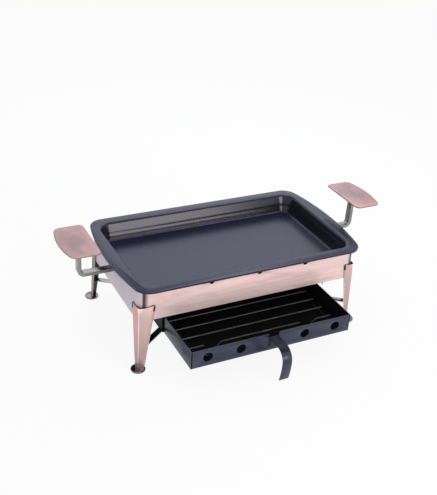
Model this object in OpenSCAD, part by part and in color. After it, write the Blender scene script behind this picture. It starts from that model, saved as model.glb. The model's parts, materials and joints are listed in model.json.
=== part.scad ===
// Tabletop charcoal grill: a roasting pan that drops into an apron stand, over a charcoal drawer on rails.
// X runs along the long side, the user stands at -Y, Z is up.
// The origin is on the table, under the middle of the apron.

/* [Apron] */
// Length of the apron band, outside
apron_length = 383; // [340:1:440]
// Depth of the apron band from front to back, outside
apron_depth = 214; // [200:1:260]
// Height of the apron band
apron_height = 56; // [50:1:70]
// Height of the apron's lower edge above the table
apron_lift = 85; // [83:1:100]
// Outside radius of the apron's upright corners
apron_corner = 18; // [12:1:24]
// Thickness of the apron's sheet
apron_sheet = 1.2; // [0.8:0.1:1.6]
// Width of the apron's turned-in lower edge
apron_hem = 5; // [3:0.5:8]
// Diameter of the vent holes in the long sides
vent_bore = 8; // [5:0.5:10]
// Number of vent holes in each long side
vent_count = 3; // [1:1:4]
// Distance between neighbouring vent holes
vent_pitch = 83; // [60:1:90]
// Shift of each row of vent holes along the side
vent_shift = 10; // [0:1:15]
// Height of the apron's top edge above the vent holes' centres
vent_drop = 10; // [8:0.5:14]

/* [Pan] */
// Depth of the pan from the top of its rim to its floor
pan_depth = 29; // [24:1:40]
// Thickness of the pan's sheet
pan_sheet = 1.2; // [0.8:0.1:1.6]
// Slope of the pan's walls from upright, in degrees
pan_draft = 17; // [8:1:18]
// Gap between the top of the pan's long walls and the apron
pan_gap = 3; // [3:0.1:5]
// Gap between the top of the pan's short walls and the apron
pan_end_gap = 6; // [3:0.5:8]
// Radius of the pan's upright corners at the rim
pan_corner = 22; // [20:1:28]
// Bend radius between the pan's walls and floor
pan_floor_bend = 4.5; // [3:0.5:8]
// Bend radius between the pan's rim and walls
pan_rim_bend = 3.6; // [2:0.2:4]
// Width of the rim along the long sides
rim_side = 17; // [12:0.5:20]
// Width of the rim at the middle of the short sides
rim_end = 22.5; // [18:0.5:26]
// Radius of the outward bow of the rim's short sides
rim_bow = 470; // [400:10:900]
// Radius of the rim's corners
rim_corner = 25; // [20:1:32]
// Height of the rim's turned-down edge
rim_edge = 3.6; // [2.4:0.2:5]

/* [Legs] */
// Width of each leg's wide wing at the top
leg_wing_top = 25; // [20:1:30]
// Width of each leg's wide wing at the foot
leg_wing_foot = 9.5; // [8:0.5:14]
// Width of each leg's narrow wing, as a share of its wide wing
leg_narrow = 0.8; // [0.7:0.05:1]
// Angle between the two wings of a leg, in degrees
leg_fold = 105; // [96:1:120]
// Thickness of the legs' sheet
leg_sheet = 1.5; // [1:0.1:2]
// Bend radius of the legs' ridge
leg_ridge_bend = 4.2; // [3:0.2:6]
// How far the legs lap up the apron
leg_lap = 27; // [20:1:35]
// Depth of the scallop in the legs' top edge
leg_scallop = 4; // [2:0.5:6]
// Radius of the legs' wing tips
leg_tip = 3; // [1:0.5:4]
// Lean of the legs towards the front and back, in degrees
leg_splay = 2.5; // [0:0.5:4]
// Lean of the legs towards the short sides, in degrees
leg_lean = 1; // [0:0.5:2]
// Diameter of the foot discs
foot_disc = 23; // [18:1:30]
// Thickness of the foot discs
foot_height = 3; // [2:0.5:5]
// Chamfer of the foot discs' edges
foot_chamfer = 0.6; // [0.2:0.1:0.8]

/* [Handles] */
// Width of the handle bars
bar_width = 12; // [8:1:16]
// Thickness of the handle bars
bar_thick = 6; // [4:0.5:8]
// Drop from the apron's top edge to the middle of the handle bars
bar_drop = 21.4; // [18:0.2:26]
// Reach of the handle bars' uprights from the apron's short sides
bar_reach = 56; // [45:1:70]
// Bend radius of the handle bars
bar_bend = 8; // [6:0.5:12]
// Room round a handle bar in its slot in the apron
bar_slot_room = 0.2; // [0.1:0.1:0.5]
// How far the handle bars stand inside the apron
bar_tenon = 1; // [0.5:0.1:1.6]
// Height of the hand plates' underside above the table
plate_height = 176; // [160:0.5:190]
// Thickness of the hand plates
plate_sheet = 1.8; // [1.5:0.1:4]
// Length of the hand plates from front to back
plate_length = 97; // [80:1:120]
// Width of the hand plates at their ends
plate_width = 45; // [36:1:56]
// Rise of the hand plates' outer edge to its crown, before it is rounded
plate_crown = 14; // [8:1:18]
// Distance from the hand plates' straight edge to the middle of the bar
plate_overhang = 22; // [14:1:26]
// Radius of the hand plates' inner corners
plate_inner_corner = 8; // [4:1:12]
// Radius of the hand plates' outer corners
plate_outer_corner = 12; // [6:1:14]

/* [Drawer] */
// Width of the drawer, outside
drawer_width = 277; // [240:1:290]
// Length of the drawer from front to back, outside
drawer_length = 214; // [190:1:230]
// Height of the drawer's walls
drawer_height = 30; // [26:1:34]
// Thickness of the drawer's sheet
drawer_sheet = 1.2; // [0.8:0.1:1.6]
// How far the drawer stands out from the apron's front
drawer_out = 75.5; // [0:0.5:120]
// Diameter of the draught holes in the drawer's front
draught_bore = 16; // [10:0.5:20]
// Distance between neighbouring draught holes, counting the pull's place
draught_pitch = 55.5; // [40:0.5:58]
// Width of the drawer's pull strap
pull_width = 16; // [10:1:24]
// Thickness of the pull strap
pull_sheet = 1.8; // [1.2:0.1:2.4]
// Depth of the pull's notch in the drawer's front
pull_notch = 10; // [8:0.5:12]
// How far the saw cut at the notch's left side runs on below the notch
notch_slit = 13; // [4:0.5:16]
// Width of that saw cut
slit_width = 1.8; // [1:0.1:2.2]
// Room round the pull in its notch
pull_room = 0.5; // [0.2:0.1:1]
// Reach of the pull's straight stretch from the drawer's front
pull_run = 24; // [16:1:36]
// Bend radius at the pull's shoulder
pull_shoulder = 19; // [12:1:22]
// Bend radius of the pull's hanging end
pull_sweep = 120; // [80:5:200]
// Angle through which the pull's hanging end curls back, in degrees
pull_curl = 15; // [5:1:20]
// Height of the pull's tab inside the drawer
pull_tab = 12; // [8:0.5:14]
// Bend radius between the pull and its tab
pull_tab_bend = 2.2; // [1.6:0.2:3]

/* [Rails] */
// Height of the rails' shelves above the table
shelf_height = 38.2; // [34:0.2:44]
// Length of the rails
rail_length = 162; // [140:1:180]
// Thickness of the rails' sheet
rail_sheet = 1.2; // [0.8:0.1:1.6]
// Width of the rails' shelves under the drawer
rail_shelf = 12; // [8:0.5:18]
// Gap between the drawer's sides and the rails
rail_gap = 1.6; // [1.4:0.1:3]
// Height of the rails' top above their shelves
rail_rise = 38; // [34:0.5:40]
// Width of the rails' outward flange
rail_flange = 11; // [6:0.5:14]
// Height of the flange's turned-down lip
rail_lip = 13; // [6:0.5:18]
// Bend radius of the rails
rail_bend = 1.8; // [1.4:0.1:2.4]
// Width of the straps that carry the rails
strap_width = 10; // [6:0.5:14]
// Thickness of the straps
strap_sheet = 2; // [1.2:0.1:3]
// Distance of the straps' inner ends from the middle of the rails
strap_pad = 72; // [60:1:74]

/* [Grate] */
// Diameter of the grate's wires
wire_diameter = 2.6; // [2:0.1:3.2]
// Number of long wires in the grate, with the two that have feet
wire_count = 8; // [4:1:8]
// Distance between neighbouring long wires
wire_pitch = 25.2; // [18:0.2:25.2]
// Distance from the drawer's front to the first long wire
wire_start = 17.5; // [10:0.5:22]
// Height of the long wires' centres above the drawer's floor
grate_height = 22.6; // [16:0.2:24]
// Gap between the long wires' ends and the drawer's sides when the grate lies in the middle
wire_end_gap = 13.5; // [0.5:0.5:16]
// How far the loose grate lies to the left of the drawer's middle
grate_shift = 12; // [0:1:12]
// Distance from the long wires' ends to the cross wires
cross_inset = 6; // [4:0.5:20]
// Distance of the grate's feet from its middle
grate_foot_place = 83; // [60:1:100]
// Slope of the grate feet's long right sides, in degrees
grate_foot_slope = 42; // [40:1:60]
// Slope of the grate feet's short left sides, in degrees
grate_foot_rise = 84; // [70:1:86]
// Bend radius of the grate's wires
wire_bend = 3; // [2.6:0.2:4]
// Gap under the grate's feet
grate_seat_gap = 0.3; // [0.1:0.1:0.5]
// Gap at the grate's welds
weld_gap = 0.05; // [0.02:0.01:0.1]

/* [Hidden] */
$fn = 96;

copper = "#c99a8f";
nickel = "#a8a8aa";
enamel = "#5c5d6e";
black_steel = "#33343c";
dark_chrome = "#4a4a4c";
wire_steel = "#8d8d8a";

right = 1;
left = -1;
front = -1;
rear = 1;
cut = 1;
reach = 4 * apron_length;
arc_steps = 12;
bend_ease = 0.001;
bend_collar = 0.04;
bend_lap = 0.2;

half_length = apron_length / 2;
half_depth = apron_depth / 2;
apron_top = apron_lift + apron_height;

rim_top = apron_top + pan_sheet;
wall_x = half_length - apron_sheet - pan_end_gap - pan_sheet / 2;
wall_y = half_depth - apron_sheet - pan_gap - pan_sheet / 2;
rim_x = wall_x + rim_end;
rim_y = wall_y + rim_side;
floor_inset = pan_depth * tan(pan_draft);
rim_setback = pan_rim_bend * tan((90 - pan_draft) / 2);
floor_setback = pan_floor_bend * tan((90 - pan_draft) / 2);

half_fold = leg_fold / 2;
leg_tip_z = apron_lift + leg_lap;
leg_pivot_z = apron_lift + leg_lap / 2;
leg_apex = apron_corner * (1 / sin(half_fold) - 1) / sqrt(2) + apron_corner / sqrt(2);
leg_x = half_length - apron_corner + leg_apex;
leg_y = half_depth - apron_corner + leg_apex;
foot_x = leg_x + (leg_pivot_z - foot_height) * tan(leg_lean);
foot_y = leg_y + (leg_pivot_z - foot_height) * tan(leg_splay);

bar_z = apron_top - bar_drop;
bar_x = half_length + bar_reach;
plate_x = bar_x - plate_overhang;

drawer_bottom = shelf_height;
drawer_top = drawer_bottom + drawer_height;
drawer_y = -half_depth - drawer_out;
drawer_back = drawer_y + drawer_length;
floor_top = drawer_bottom + drawer_sheet;
pull_z = drawer_top - pull_notch + pull_room + pull_tab_bend;

rail_web_x = drawer_width / 2 + rail_gap + rail_sheet / 2;
rail_shelf_x = drawer_width / 2 - rail_shelf;
rail_flange_x = rail_web_x + rail_flange;
rail_top_z = shelf_height + rail_rise - rail_sheet / 2;
strap_top = shelf_height - rail_sheet;

wire_z = floor_top + grate_height;
wire_half = drawer_width / 2 - drawer_sheet - wire_end_gap;
grate_x = -min(grate_shift, wire_end_gap - grate_seat_gap);
wire_last_y = drawer_y + wire_start + (wire_count - 1) * wire_pitch;
grate_foot_drop = grate_height - wire_diameter / 2 - grate_seat_gap - bend_collar;

function unit(v) = v / norm(v);
function left_of(v) = [-v[1], v[0]];
function cross_of(a, b) = a[0] * b[1] - a[1] * b[0];

// Signed angle through which a path turns at its point i
function turn_at(path, i) =
    let (a = unit(path[i] - path[i - 1]), b = unit(path[i + 1] - path[i]))
    atan2(cross_of(a, b), a * b);

// Length that a bend at point i takes off the straight stretch on each side of it
function setback_at(path, radii, i) =
    (i == 0 || i == len(path) - 1) ? 0 : radii[i - 1] * tan(abs(turn_at(path, i)) / 2);

// Points of a closed outline whose corners are rounded, each by its own radius
function rounded_outline(corners, radii) = [
    for (i = [0 : len(corners) - 1])
        let (n = len(corners),
            before = unit(corners[i] - corners[(i + n - 1) % n]),
            after = unit(corners[(i + 1) % n] - corners[i]),
            turn = atan2(cross_of(before, after), before * after),
            start = corners[i] - before * radii[i] * tan(turn / 2),
            centre = start + left_of(before) * radii[i],
            first = atan2(start[1] - centre[1], start[0] - centre[0]))
        for (k = [0 : arc_steps])
            centre + radii[i] * [cos(first + turn * k / arc_steps), sin(first + turn * k / arc_steps)]
];

// Centre of the bend at point i
function bend_centre(path, radii, i) =
    let (before = unit(path[i] - path[i - 1]))
    path[i] - before * setback_at(path, radii, i) + left_of(before) * sign(turn_at(path, i)) * radii[i - 1];

// Points of one side of a folded sheet at point i: a sharp corner outside a bend, the bend's centre inside it
function side_points(path, radii, i, half) =
    let (last = len(path) - 1,
        before = unit(path[max(i, 1)] - path[max(i, 1) - 1]),
        after = unit(path[min(i, last - 1) + 1] - path[min(i, last - 1)]),
        setback = setback_at(path, radii, i))
    (i == 0 || i == last || half * turn_at(path, i) < 0)
        ? [path[i] + (left_of(before) + left_of(after)) * half / (1 + before * after)]
        : [path[i] - before * setback + left_of(before) * half,
            bend_centre(path, radii, i),
            path[i] + after * setback + left_of(after) * half];

// Cross-section of a sheet or bar folded along a path, with a bend radius at each inner point
module folded_section(path, radii, thickness) {
    last = len(path) - 1;
    half = thickness / 2;
    difference() {
        polygon([for (i = [0 : last]) for (point = side_points(path, radii, i, half)) point,
            for (i = [last : -1 : 0])
                let (points = side_points(path, radii, i, -half))
                for (k = [len(points) - 1 : -1 : 0]) points[k]]);
        for (i = [1 : last - 1])
            translate(bend_centre(path, radii, i)) {
                intersection() {
                    bend_wedge(path, i, radii[i - 1] + thickness, cut);
                    circle(r = radii[i - 1] - half + bend_ease);
                }
                difference() {
                    bend_wedge(path, i, radii[i - 1] + thickness, 0);
                    circle(r = radii[i - 1] + half + bend_ease);
                }
            }
    }
}

// Kite from a bend's centre to the corner outside the bend, widened along the straight stretches by a margin
module bend_wedge(path, i, radius, margin) {
    before = unit(path[i] - path[i - 1]);
    after = unit(path[i + 1] - path[i]);
    side = -sign(turn_at(path, i));
    out_before = left_of(before) * side;
    out_after = left_of(after) * side;
    polygon([-before * margin, out_before * radius - before * margin,
        (out_before + out_after) * radius / (1 + out_before * out_after),
        out_after * radius + after * margin, after * margin]);
}

// Rectangle with round corners, given by its half sides
module rounded_rectangle(half_x, half_y, radius) {
    square([2 * half_x, 2 * (half_y - radius)], center = true);
    square([2 * (half_x - radius), 2 * half_y], center = true);
    for (sx = [left, right], sy = [front, rear])
        translate([sx * (half_x - radius), sy * (half_y - radius)])
            circle(r = radius);
}

// Outline of the pan's rim: straight long sides, bowed short sides, round corners
module rim_outline(inset) {
    bow = rim_bow - inset;
    corner = rim_corner - inset;
    half_x = rim_x - inset;
    half_y = rim_y - inset;
    bow_centre = half_x - bow;
    corner_y = half_y - corner;
    corner_x = bow_centre + sqrt(pow(bow - corner, 2) - pow(corner_y, 2));
    bow_end_y = corner_y * bow / (bow - corner);
    intersection() {
        translate([bow_centre, 0])
            circle(r = bow);
        translate([-bow_centre, 0])
            circle(r = bow);
        square([2 * half_x, 2 * bow_end_y], center = true);
    }
    square([2 * corner_x, 2 * half_y], center = true);
    for (sx = [left, right], sy = [front, rear])
        translate([sx * corner_x, sy * corner_y])
            circle(r = corner);
}

// Fold of the pan's sheet from rim to floor, measured from the wall's top line
module pan_wall_section() {
    folded_section([[rim_setback + cut, -pan_sheet / 2],
        [0, -pan_sheet / 2],
        [-floor_inset, -pan_sheet / 2 - pan_depth],
        [-floor_inset - floor_setback - cut, -pan_sheet / 2 - pan_depth]],
        [pan_rim_bend, pan_floor_bend], pan_sheet);
}

module pan_side(half_span) {
    rotate([90, 0, 0])
        linear_extrude(2 * half_span, center = true)
            pan_wall_section();
}

module roasting_pan() {
    straight_x = wall_x - pan_corner;
    straight_y = wall_y - pan_corner;
    plate_edge = rim_setback + cut / 2;
    floor_edge = floor_inset + floor_setback + cut / 2;
    color(enamel) union() {
        translate([0, 0, apron_top])
            linear_extrude(pan_sheet)
                difference() {
                    rim_outline(0);
                    rounded_rectangle(wall_x + plate_edge, wall_y + plate_edge, pan_corner + plate_edge);
                }
        translate([0, 0, rim_top - rim_edge])
            linear_extrude(rim_edge)
                difference() {
                    rim_outline(0);
                    rim_outline(pan_sheet);
                }
        translate([0, 0, rim_top]) {
            for (angle = [0, 180]) {
                rotate(angle)
                    translate([wall_x, 0, 0])
                        pan_side(straight_y);
                rotate(angle + 90)
                    translate([wall_y, 0, 0])
                        pan_side(straight_x);
            }
            for (sx = [0, 1], sy = [0, 1])
                mirror([sx, 0, 0])
                    mirror([0, sy, 0])
                        translate([straight_x, straight_y, 0])
                            rotate_extrude(angle = 90)
                                translate([pan_corner, 0])
                                    pan_wall_section();
        }
        translate([0, 0, rim_top - pan_depth - pan_sheet])
            linear_extrude(pan_sheet)
                rounded_rectangle(wall_x - floor_edge, wall_y - floor_edge, pan_corner - floor_edge);
    }
}

module apron_ring(height, width) {
    linear_extrude(height)
        difference() {
            rounded_rectangle(half_length, half_depth, apron_corner);
            rounded_rectangle(half_length - width, half_depth - width, apron_corner - width);
        }
}

module apron_band() {
    color(copper) difference() {
        translate([0, 0, apron_lift]) {
            apron_ring(apron_height, apron_sheet);
            apron_ring(apron_sheet, apron_hem);
        }
        for (i = [0 : vent_count - 1])
            translate([vent_shift + (i - (vent_count - 1) / 2) * vent_pitch, 0, apron_top - vent_drop])
                rotate([90, 0, 0])
                    cylinder(d = vent_bore, h = apron_depth + 2 * cut, center = true);
        translate([0, 0, bar_z])
            cube([apron_length + 2 * cut, bar_width + 2 * bar_slot_room, bar_thick + 2 * bar_slot_room],
                center = true);
    }
}

// Puts a piece drawn at the corner's ridge, with X pointing outwards, at one corner of the apron
module at_corner(side, end) {
    mirror([side < 0 ? 1 : 0, 0, 0])
        mirror([0, end < 0 ? 1 : 0, 0])
            translate([leg_x, leg_y, leg_pivot_z])
                rotate([leg_splay, -leg_lean, 0])
                    translate([0, 0, -leg_pivot_z])
                        rotate(45)
                            children();
}

// Tapered outline of a leg, seen along its ridge's diagonal, with the wide wing at +X
module leg_silhouette() {
    tip = leg_wing_top * sin(half_fold);
    heel = leg_wing_foot * sin(half_fold);
    middle = tip * (1 - leg_narrow) / 2;
    scallop = (pow(tip - middle, 2) + pow(leg_scallop, 2)) / (2 * leg_scallop);
    heel_z = -foot_height;
    corners = [[-heel * leg_narrow, heel_z], [heel, heel_z],
        [tip, leg_tip_z], [-tip * leg_narrow, leg_tip_z]];
    difference() {
        polygon(rounded_outline(corners, [0, 0, leg_tip, leg_tip]));
        translate([middle, leg_tip_z - leg_scallop + scallop])
            circle(r = scallop);
    }
}

// All four legs are the same pressing, turned, so two of them have the wide wing on a long side
module leg(side, end) {
    fold_end = leg_wing_top + leg_sheet;
    apex = leg_sheet / 2 / sin(half_fold);
    wing = fold_end * [-cos(half_fold), sin(half_fold)];
    color(copper) difference() {
        at_corner(side, end)
            mirror([0, side == end ? 0 : 1, 0])
                intersection() {
                    translate([apex, 0, -foot_height])
                        linear_extrude(leg_tip_z + 2 * foot_height)
                            folded_section([[wing[0], -wing[1]], [0, 0], wing], [leg_ridge_bend], leg_sheet);
                    rotate([90, 0, 90])
                        linear_extrude(4 * leg_wing_top, center = true)
                            leg_silhouette();
                }
        translate([0, 0, foot_height - reach / 2])
            cube(reach, center = true);
        translate([0, 0, apron_lift])
            linear_extrude(apron_height)
                rounded_rectangle(half_length, half_depth, apron_corner);
    }
}

module foot(side, end) {
    color(dark_chrome)
        translate([side * foot_x, end * foot_y, 0])
            rotate_extrude()
                polygon([[0, 0], [foot_disc / 2 - foot_chamfer, 0], [foot_disc / 2, foot_chamfer],
                    [foot_disc / 2, foot_height - foot_chamfer], [foot_disc / 2 - foot_chamfer, foot_height],
                    [0, foot_height]]);
}

// Flat strap from inside a leg's fold to the underside of the rail's shelf
module rail_strap(side, end) {
    fold_room = leg_ridge_bend / tan(half_fold);
    pad = [rail_web_x, strap_pad];
    run = [foot_x, foot_y] - pad;
    color(dark_chrome) intersection() {
        translate([0, 0, strap_top - strap_sheet])
            linear_extrude(strap_sheet)
                mirror([side < 0 ? 1 : 0, 0])
                    mirror([0, end < 0 ? 1 : 0])
                        intersection() {
                            translate(pad)
                                rotate(atan2(run[1], run[0]))
                                    square([2 * norm(run), strap_width], center = true);
                            translate([rail_shelf_x, 0])
                                square([reach, reach]);
                        }
        at_corner(side, end)
            linear_extrude(leg_tip_z)
                polygon([[-fold_room * cos(half_fold), fold_room * sin(half_fold)],
                    reach * [-cos(half_fold), sin(half_fold)],
                    reach * [-cos(half_fold), -sin(half_fold)],
                    [-fold_room * cos(half_fold), -fold_room * sin(half_fold)]]);
    }
}

module drawer_rail(side) {
    shelf_z = shelf_height - rail_sheet / 2;
    color(black_steel)
        mirror([side < 0 ? 1 : 0, 0, 0])
            rotate([90, 0, 0])
                linear_extrude(rail_length, center = true)
                    folded_section([[rail_shelf_x, shelf_z], [rail_web_x, shelf_z], [rail_web_x, rail_top_z],
                        [rail_flange_x, rail_top_z], [rail_flange_x, rail_top_z - rail_lip]],
                        [rail_bend, rail_bend, rail_bend], rail_sheet);
}

module handle_bar(side) {
    color(nickel)
        mirror([side < 0 ? 1 : 0, 0, 0])
            rotate([90, 0, 0])
                linear_extrude(bar_width, center = true)
                    folded_section([[half_length - apron_sheet - bar_tenon, bar_z], [bar_x, bar_z],
                        [bar_x, plate_height]], [bar_bend], bar_thick);
}

module handle_plate(side) {
    half_plate = plate_length / 2;
    outer_x = plate_x + plate_width;
    crown_angle = atan(plate_crown / half_plate);
    corner_setback = plate_outer_corner * tan((90 - crown_angle) / 2);
    crown_bend = (half_plate / cos(crown_angle) - corner_setback) / tan(crown_angle) - cut;
    corners = [[plate_x, -half_plate], [outer_x, -half_plate], [outer_x + plate_crown, 0],
        [outer_x, half_plate], [plate_x, half_plate]];
    color(copper)
        mirror([side < 0 ? 1 : 0, 0, 0])
            translate([0, 0, plate_height])
                linear_extrude(plate_sheet)
                    polygon(rounded_outline(corners, [plate_inner_corner, plate_outer_corner, crown_bend,
                        plate_outer_corner, plate_inner_corner]));
}

module drawer_tray() {
    tray_length = drawer_length - drawer_sheet;
    color(black_steel)
        translate([-drawer_width / 2, drawer_y + drawer_sheet, drawer_bottom])
            difference() {
                cube([drawer_width, tray_length, drawer_height]);
                translate([drawer_sheet, -cut, drawer_sheet])
                    cube([drawer_width - 2 * drawer_sheet, tray_length - drawer_sheet + cut, drawer_height]);
            }
}

module drawer_front() {
    notch_width = pull_width + 2 * pull_room;
    color(black_steel)
        translate([0, drawer_y, 0])
            difference() {
                translate([-drawer_width / 2, 0, drawer_bottom])
                    cube([drawer_width, drawer_sheet, drawer_height]);
                for (place = [-2, -1, 1, 2])
                    translate([place * draught_pitch, drawer_sheet / 2, drawer_bottom + drawer_height / 2])
                        rotate([90, 0, 0])
                            cylinder(d = draught_bore, h = drawer_sheet + 2 * cut, center = true);
                translate([-notch_width / 2, -cut, drawer_top - pull_notch])
                    cube([notch_width, drawer_sheet + 2 * cut, pull_notch + cut]);
                translate([-(notch_width + slit_width) / 2, -cut, drawer_top - pull_notch - notch_slit])
                    cube([slit_width, drawer_sheet + 2 * cut, notch_slit + pull_notch + cut]);
            }
}

// Strap that hooks over the drawer's front: a tab inside, a straight run out, a shoulder and a hanging end
module drawer_pull() {
    tab_y = -drawer_sheet - pull_sheet / 2;
    shoulder_y = pull_run + pull_shoulder;
    sweep_setback = pull_sweep * tan(pull_curl / 2);
    sweep_z = -pull_shoulder - cut - sweep_setback;
    end_run = sweep_setback + cut;
    color(black_steel)
        translate([0, drawer_y, pull_z])
            rotate([90, 0, -90])
                linear_extrude(pull_width, center = true)
                    folded_section([[tab_y, -pull_tab], [tab_y, 0], [shoulder_y, 0], [shoulder_y, sweep_z],
                        [shoulder_y - end_run * sin(pull_curl), sweep_z - end_run * cos(pull_curl)]],
                        [pull_tab_bend, pull_shoulder, pull_sweep], pull_sheet);
}

// Round wire bent along a path, with a hair of extra girth at its bends
module bent_wire(path, radii) {
    for (i = [0 : len(path) - 2]) {
        along = unit(path[i + 1] - path[i]);
        start = path[i] + along * (setback_at(path, radii, i) - (i == 0 ? 0 : bend_lap));
        end = path[i + 1] - along * (setback_at(path, radii, i + 1) - (i == len(path) - 2 ? 0 : bend_lap));
        translate(start)
            rotate([0, 90, atan2(along[1], along[0])])
                cylinder(d = wire_diameter, h = norm(end - start));
    }
    for (i = [1 : len(path) - 2]) {
        turn = turn_at(path, i);
        out = left_of(path[i] - path[i - 1]) * -sign(turn);
        translate(bend_centre(path, radii, i))
            rotate(atan2(out[1], out[0]) + min(turn, 0))
                rotate_extrude(angle = abs(turn))
                    translate([radii[i - 1], 0])
                        circle(d = wire_diameter + bend_collar);
    }
}

module grate_bars() {
    color(wire_steel)
        for (i = [1 : wire_count - 2])
            translate([grate_x, drawer_y + wire_start + i * wire_pitch, wire_z])
                rotate([0, 90, 0])
                    cylinder(d = wire_diameter, h = 2 * wire_half, center = true);
}

// Long wire of the grate with two feet bent down to the drawer's floor
module grate_foot_wire(wire_y) {
    point_drop = grate_foot_drop + wire_bend * (cos((grate_foot_rise - grate_foot_slope) / 2)
        / cos((grate_foot_rise + grate_foot_slope) / 2) - 1);
    short_run = point_drop / tan(grate_foot_rise);
    mouth = short_run + point_drop / tan(grate_foot_slope);
    color(wire_steel)
        translate([grate_x, wire_y, wire_z])
            rotate([90, 0, 0])
                bent_wire([[-wire_half, 0],
                    for (place = [-grate_foot_place, grate_foot_place])
                        for (corner = [[0, 0], [short_run, -point_drop], [mouth, 0]])
                            [place - mouth / 2, 0] + corner,
                    [wire_half, 0]],
                    [for (i = [1 : 6]) wire_bend]);
}

module grate_cross_wire(side) {
    first_y = drawer_y + wire_start;
    color(wire_steel)
        translate([grate_x + side * (wire_half - cross_inset), first_y - wire_diameter,
            wire_z - wire_diameter - weld_gap])
            rotate([-90, 0, 0])
                cylinder(d = wire_diameter, h = wire_last_y - first_y + 2 * wire_diameter);
}

roasting_pan();
apron_band();
leg(left, front);  // leg_front_left
leg(right, front);  // leg_front_right
leg(left, rear);  // leg_rear_left
leg(right, rear);  // leg_rear_right
foot(left, front);  // foot_front_left
foot(right, front);  // foot_front_right
foot(left, rear);  // foot_rear_left
foot(right, rear);  // foot_rear_right
rail_strap(left, front);  // rail_strap_front_left
rail_strap(right, front);  // rail_strap_front_right
rail_strap(left, rear);  // rail_strap_rear_left
rail_strap(right, rear);  // rail_strap_rear_right
drawer_rail(left);  // drawer_rail_left
drawer_rail(right);  // drawer_rail_right
handle_bar(left);  // handle_bar_left
handle_bar(right);  // handle_bar_right
handle_plate(left);  // handle_plate_left
handle_plate(right);  // handle_plate_right
drawer_tray();
drawer_front();
drawer_pull();
grate_bars();
grate_foot_wire(drawer_y + wire_start);  // grate_foot_wire_front
grate_foot_wire(wire_last_y);  // grate_foot_wire_rear
grate_cross_wire(left);  // grate_cross_wire_left
grate_cross_wire(right);  // grate_cross_wire_right
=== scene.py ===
# %% [markdown]
# # A tabletop charcoal grill
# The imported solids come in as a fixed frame, in metres: +X along the grill, -Y towards the user, +Z up.
# This lesson dresses them: soft edges, plated and painted finishes, wires and welds, and a white studio.

# %% Load the solids
import json
import math

import bmesh
import bpy
from mathutils import Matrix, Vector

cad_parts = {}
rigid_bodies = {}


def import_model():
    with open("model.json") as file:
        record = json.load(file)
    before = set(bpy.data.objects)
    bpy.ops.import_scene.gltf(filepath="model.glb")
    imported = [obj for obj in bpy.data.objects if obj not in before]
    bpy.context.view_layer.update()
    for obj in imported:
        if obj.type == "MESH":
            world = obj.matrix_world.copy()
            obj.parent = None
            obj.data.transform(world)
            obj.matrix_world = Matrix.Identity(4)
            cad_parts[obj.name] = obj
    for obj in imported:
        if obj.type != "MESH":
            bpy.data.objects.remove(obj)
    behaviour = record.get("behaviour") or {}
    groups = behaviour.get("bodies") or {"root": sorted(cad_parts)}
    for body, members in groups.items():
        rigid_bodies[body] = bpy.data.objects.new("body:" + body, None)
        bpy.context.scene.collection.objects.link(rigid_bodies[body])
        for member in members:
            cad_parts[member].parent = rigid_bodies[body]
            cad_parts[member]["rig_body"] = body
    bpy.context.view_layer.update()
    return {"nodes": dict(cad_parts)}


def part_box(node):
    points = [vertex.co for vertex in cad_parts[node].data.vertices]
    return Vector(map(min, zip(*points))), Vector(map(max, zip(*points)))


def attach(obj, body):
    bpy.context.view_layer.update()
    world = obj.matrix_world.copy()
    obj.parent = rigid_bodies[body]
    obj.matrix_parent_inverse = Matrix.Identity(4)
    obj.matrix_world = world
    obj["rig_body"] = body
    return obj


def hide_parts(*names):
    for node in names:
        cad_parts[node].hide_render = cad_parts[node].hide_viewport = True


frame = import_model()
MM = 0.001

# %% [markdown]
# ## The camera
# The photograph looks down on the left front corner. A camera could be aimed at the grill by eye, but its
# lens and place were solved from the straight edges of the apron and the drawer, so it is set by its three
# axes.

# %% Camera
CAMERA_PLACE = (-0.5645, -1.0277, 0.7797)
CAMERA_RIGHT = (0.8947, -0.4418, 0.0655)
CAMERA_UP = (0.1669, 0.4668, 0.8685)
CAMERA_BACK = (-0.4143, -0.7661, 0.4914)
CAMERA_LENS = 59.19


def add_object(name, data):
    made = bpy.data.objects.new(name, data)
    bpy.context.scene.collection.objects.link(made)
    return made


camera = add_object("camera", bpy.data.cameras.new("camera"))
turn = Matrix((CAMERA_RIGHT, CAMERA_UP, CAMERA_BACK)).transposed().to_4x4()
camera.matrix_world = Matrix.Translation(CAMERA_PLACE) @ turn
camera.data.lens = CAMERA_LENS
bpy.context.scene.camera = camera
print("camera at", CAMERA_PLACE, "lens", CAMERA_LENS, "mm")

# %% [markdown]
# ## Helpers for node trees
# Every finish below is a tree of nodes. It could be drawn by hand in the node editor, but in a script a few
# helpers let it be read from top to bottom: they add a node, set its plain inputs and join the linked ones.


# %% Node helpers
def socket(sockets, key):
    if isinstance(key, int):
        return sockets[key]
    named = [s for s in sockets if s.identifier == key] or [s for s in sockets if s.name == key]
    return named[0]


def add_node(tree, kind, inputs=None, **settings):
    node = tree.nodes.new(kind)
    for key, value in settings.items():
        setattr(node, key, value)
    for key, value in (inputs or {}).items():
        if isinstance(value, bpy.types.NodeSocket):
            tree.links.new(value, socket(node.inputs, key))
        else:
            socket(node.inputs, key).default_value = value
    return node


def joined(tree, operation, first, second):
    return add_node(tree, "ShaderNodeMath", operation=operation, inputs={0: first, 1: second}).outputs[0]


def mixed(tree, factor, low, high):
    node = add_node(tree, "ShaderNodeMix", data_type="RGBA",
                    inputs={"Factor_Float": factor, "A_Color": low, "B_Color": high})
    return socket(node.outputs, "Result_Color")


def ranged(tree, value, low, high, to_low, to_high):
    node = add_node(tree, "ShaderNodeMapRange", inputs={
        "Value": value, "From Min": low, "From Max": high, "To Min": to_low, "To Max": to_high})
    return node.outputs["Result"]


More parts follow.
